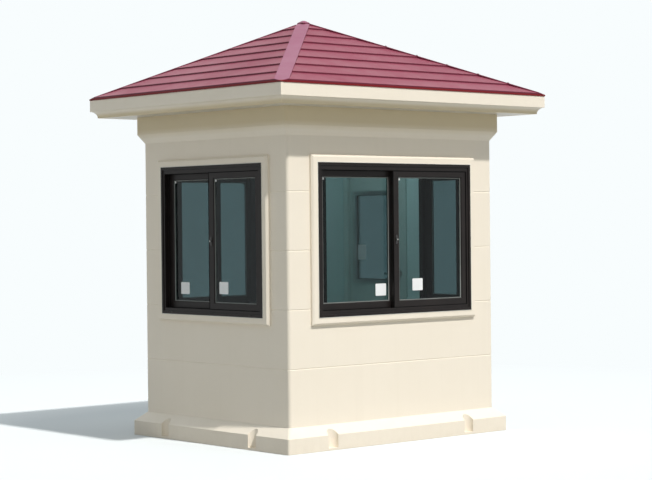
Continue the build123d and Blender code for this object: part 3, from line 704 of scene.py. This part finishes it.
# %% Hinge screws
HINGE_FACE, HINGE_HALF, SCREW_APART, SCREW_IN = 0.0130, 0.045, 0.033, 0.011
door_leaves_low, door_leaves_high = flat_box("right", "hinge_door_leaves")
frame_leaves_high = flat_box("right", "hinge_frame_leaves")[1]
hinge_heights = (door_leaves_low.y + HINGE_HALF, (door_leaves_low.y + door_leaves_high.y) / 2,
                 door_leaves_high.y - HINGE_HALF)
screw_rows = (
    ("door", "door", door_leaves_low.x + SCREW_IN),
    ("frame", "booth", frame_leaves_high.x - SCREW_IN))
for title, body, along in screw_rows:
    screws = bmesh.new()
    for middle in hinge_heights:
        for offset in (-SCREW_APART, 0.0, SCREW_APART):
            button(screws, seat("right", along, middle + offset, HINGE_FACE), radius=0.0042, height=0.0012,
                   recess=0.0007, sides=12)
    finish_piece("hinge_screws_" + title, screws, steel, body=body, smooth=True)

# %% Door lock
LOCK_BELOW_HANDLE, LOCK_IN, DOOR_FACE, ROSE_HEIGHT = 0.085, 0.024, 0.010, 0.004
handle_low, handle_high = flat_box("right", "door_handles")
lock_along = handle_low.x + LOCK_IN
lock_height = (handle_low.y + handle_high.y) / 2 - LOCK_BELOW_HANDLE
lock = bmesh.new()
button(lock, seat("right", lock_along, lock_height, DOOR_FACE), radius=0.017, height=ROSE_HEIGHT, sides=32)
button(lock, seat("right", lock_along, lock_height, DOOR_FACE + ROSE_HEIGHT), radius=0.0085, height=0.003,
       recess=0.0015, sides=24)
finish_piece("door_lock", lock, steel, body="door", smooth=True)

# %% [markdown]
# ## Rubber round the door's glass
# The door's pane is held by bright beads with a thin rubber lip on each face, like the windows.

# %% Door glass gasket
LITE_SIGHT_WIDTH, LITE_SIGHT_HEIGHT = 0.347, 0.612
pane_low, pane_high = flat_box("right", "door_glass")
pane_middle = (pane_low + pane_high) / 2
door_gasket = bmesh.new()
for face, turned in ((pane_high.z, Matrix()), (pane_low.z, FACING_IN)):
    ring(door_gasket, seat("right", pane_middle.x, pane_middle.y, face) @ turned, LITE_SIGHT_WIDTH,
         LITE_SIGHT_HEIGHT, border=0.005, depth=0.004, bevel=0.002)
finish_piece("door_gasket", door_gasket, gasket_grey, body="door", smooth=True)

# %% [markdown]
# ## Blank labels
# New glass still carries small square paper labels, one in a lower corner of most panes. They are blank
# here: thin white squares with softly rounded corners. Each pane also has a tiny pale pad in one upper
# corner, where it was packed for the journey, and the same few lines make it.

# %% Label helper
PAPER, STAND_OFF = 0.0006, 0.0002


def label(shape, place, width, height, corner=0.006):
    """A thin blank square with rounded corners."""
    part = flat_sheet(width, height)
    bmesh.ops.bevel(part, geom=part.verts[:], offset=corner, segments=3, profile=0.5, affect="VERTICES",
                    material=-1)
    push_up(part, PAPER)
    join_shape(shape, part, place)

# %% Labels on the windows
LABEL_WIDTH, LABEL_HEIGHT = 0.092, 0.078
label_places = {
    "front_inner_sash": (-0.099, 0.983), "front_outer_sash": (0.197, 1.009),
    "left_inner_sash": (-0.343, 0.995), "left_outer_sash": (0.112, 1.005)}
labels = bmesh.new()
for name, (along, height) in label_places.items():
    wall, middle = sights[name][:2]
    label(labels, seat(wall, along, height, middle.z + STAND_OFF), LABEL_WIDTH, LABEL_HEIGHT)
finish_piece("window_labels", labels, label_white)

# %% Pads in the corners of the panes
PAD, PAD_INSET = 0.014, 0.013
pads = bmesh.new()
for wall, middle, width, height in sights.values():
    corner_along, corner_up = middle.x - width / 2 + PAD_INSET, middle.y + height / 2 - PAD_INSET
    label(pads, seat(wall, corner_along, corner_up, middle.z + STAND_OFF), PAD, PAD, corner=0.003)
finish_piece("glazing_corner_pads", pads, pale_cap)

# %% Label inside the door's glass
DOOR_LABEL_ALONG, DOOR_LABEL_UP, DOOR_LABEL_HEIGHT = 0.545, 1.20, 0.11
door_label = bmesh.new()
inner_face = seat("right", DOOR_LABEL_ALONG, DOOR_LABEL_UP, pane_low.z - STAND_OFF) @ FACING_IN
label(door_label, inner_face, LABEL_WIDTH, DOOR_LABEL_HEIGHT)
finish_piece("door_label", door_label, label_white, body="door")

# %% [markdown]
# ## Pale surroundings
# The camera, mirrors and glass see one strong pale colour all round. As a light it would wash the booth
# out, so what lights the booth is a weaker world, a little bluer and brighter overhead than near the ground.
# Light Path tells the two kinds of ray apart.

# %% World
BACKDROP = (0.939, 0.982, 0.991, 1)
FILL_LOW, FILL_HIGH = 0.26, 0.69
FILL_NEAR_GROUND, FILL_OVERHEAD = (0.97, 0.99, 0.99, 1), (0.90, 1.0, 1.06, 1)


def seen_directly(tree):
    """1 for the rays of the camera, of mirrors and of glass, and 0 for those that light the object."""
    path = add(tree, "ShaderNodeLightPath").outputs
    mirrors = sums(tree, "MAXIMUM", path["Is Glossy Ray"], path["Is Transmission Ray"])
    return sums(tree, "MAXIMUM", path["Is Camera Ray"], mirrors)


world = bpy.data.worlds.new("surroundings")
world.use_nodes = True
sky = world.node_tree
sky.nodes.clear()
up = coordinate(sky, "Generated")["Z"]
fill_colour = tint(sky, spread(sky, up, 0.0, 1.0), FILL_NEAR_GROUND, FILL_OVERHEAD)
fill_strength = spread(sky, up, 0.0, 1.0, FILL_LOW, FILL_HIGH)
fill_light = add(sky, "ShaderNodeBackground", {"Color": fill_colour, "Strength": fill_strength})
backdrop = add(sky, "ShaderNodeBackground", {"Color": BACKDROP, "Strength": 1.0})
chosen = add(sky, "ShaderNodeMixShader", {
    0: seen_directly(sky), 1: fill_light.outputs[0], 2: backdrop.outputs[0]})
sky.links.new(chosen.outputs[0], add(sky, "ShaderNodeOutputWorld").inputs["Surface"])
bpy.context.scene.world = world
print("fill light from", FILL_LOW, "to", FILL_HIGH)

# %% [markdown]
# ## Floor
# The floor is a pale disc that keeps the booth's shadow and fades, a few metres out, into the colour of
# the world, so that no horizon shows. It is darker for the rays that light the booth, as paving would be.

# %% Floor disc
FLOOR_RADIUS, FLOOR_DROP = 60, 0.001
ground = bmesh.new()
bmesh.ops.create_circle(ground, cap_ends=True, cap_tris=False, segments=96, radius=FLOOR_RADIUS)
bmesh.ops.translate(ground, verts=ground.verts, vec=(0, 0, -FLOOR_DROP))
floor_mesh = bpy.data.meshes.new("floor")
ground.to_mesh(floor_mesh)
ground.free()
floor = bpy.data.objects.new("floor", floor_mesh)
bpy.context.scene.collection.objects.link(floor)
print("floor radius:", FLOOR_RADIUS)

# %% Floor material
FADE_FROM, FADE_TO = 2.2, 6.0
floor_look = bpy.data.materials.new("pale_floor")
floor_look.use_nodes = True
tree = floor_look.node_tree
tree.nodes.clear()
parts = coordinate(tree, "Object")
flat = add(tree, "ShaderNodeCombineXYZ", {"X": parts["X"], "Y": parts["Y"]}).outputs[0]
away = add(tree, "ShaderNodeVectorMath", {0: flat}, operation="LENGTH").outputs["Value"]
near = add(tree, "ShaderNodeBsdfDiffuse", {"Color": (0.77, 0.80, 0.81, 1)})
far = add(tree, "ShaderNodeEmission", {"Color": BACKDROP, "Strength": 1.0})
pale = add(tree, "ShaderNodeMixShader", {
    0: spread(tree, away, FADE_FROM, FADE_TO), 1: near.outputs[0], 2: far.outputs[0]})
bounce = add(tree, "ShaderNodeBsdfDiffuse", {"Color": (0.38, 0.38, 0.36, 1)})
surface = add(tree, "ShaderNodeMixShader", {0: seen_directly(tree), 1: bounce.outputs[0], 2: pale.outputs[0]})
tree.links.new(surface.outputs[0], add(tree, "ShaderNodeOutputMaterial").inputs["Surface"])
floor_mesh.materials.append(floor_look)
print("floor fades out from", FADE_FROM, "to", FADE_TO)

# %% [markdown]
# ## Lamps
# One sun lamp stands high in front of the booth. The front is in its light, the left wall in shade, and the
# eaves throw a shadow on the front wall. Daylight through four windows also fills the room, but few rays
# find their way in, so a wide soft lamp under the ceiling, which nothing can see, stands in for it.

# %% Daylight
lamp_data = bpy.data.lights.new("lamp", "SUN")
lamp_data.energy = 3.05
lamp_data.angle = radians(2)
lamp_data.color = (1.0, 0.98, 0.95)
lamp = bpy.data.objects.new("lamp", lamp_data)
lamp_direction = Vector((0.036, -0.59, 0.806))
lamp.rotation_euler = lamp_direction.to_track_quat("Z", "Y").to_euler()
bpy.context.scene.collection.objects.link(lamp)
print("lamp stands at", [round(part, 2) for part in lamp_direction.normalized()])

# %% Soft light in the room
room_data = bpy.data.lights.new("room light", "AREA")
room_data.shape = "RECTANGLE"
room_data.size, room_data.size_y = 1.3, 1.0
room_data.energy = 9.0
room_data.color = (0.97, 1.0, 1.0)
room_light = bpy.data.objects.new("room light", room_data)
room_light.location = (0, 0, 2.09)
room_light.visible_camera = room_light.visible_glossy = room_light.visible_transmission = False
bpy.context.scene.collection.objects.link(room_light)
print("room light:", room_data.energy, "W")
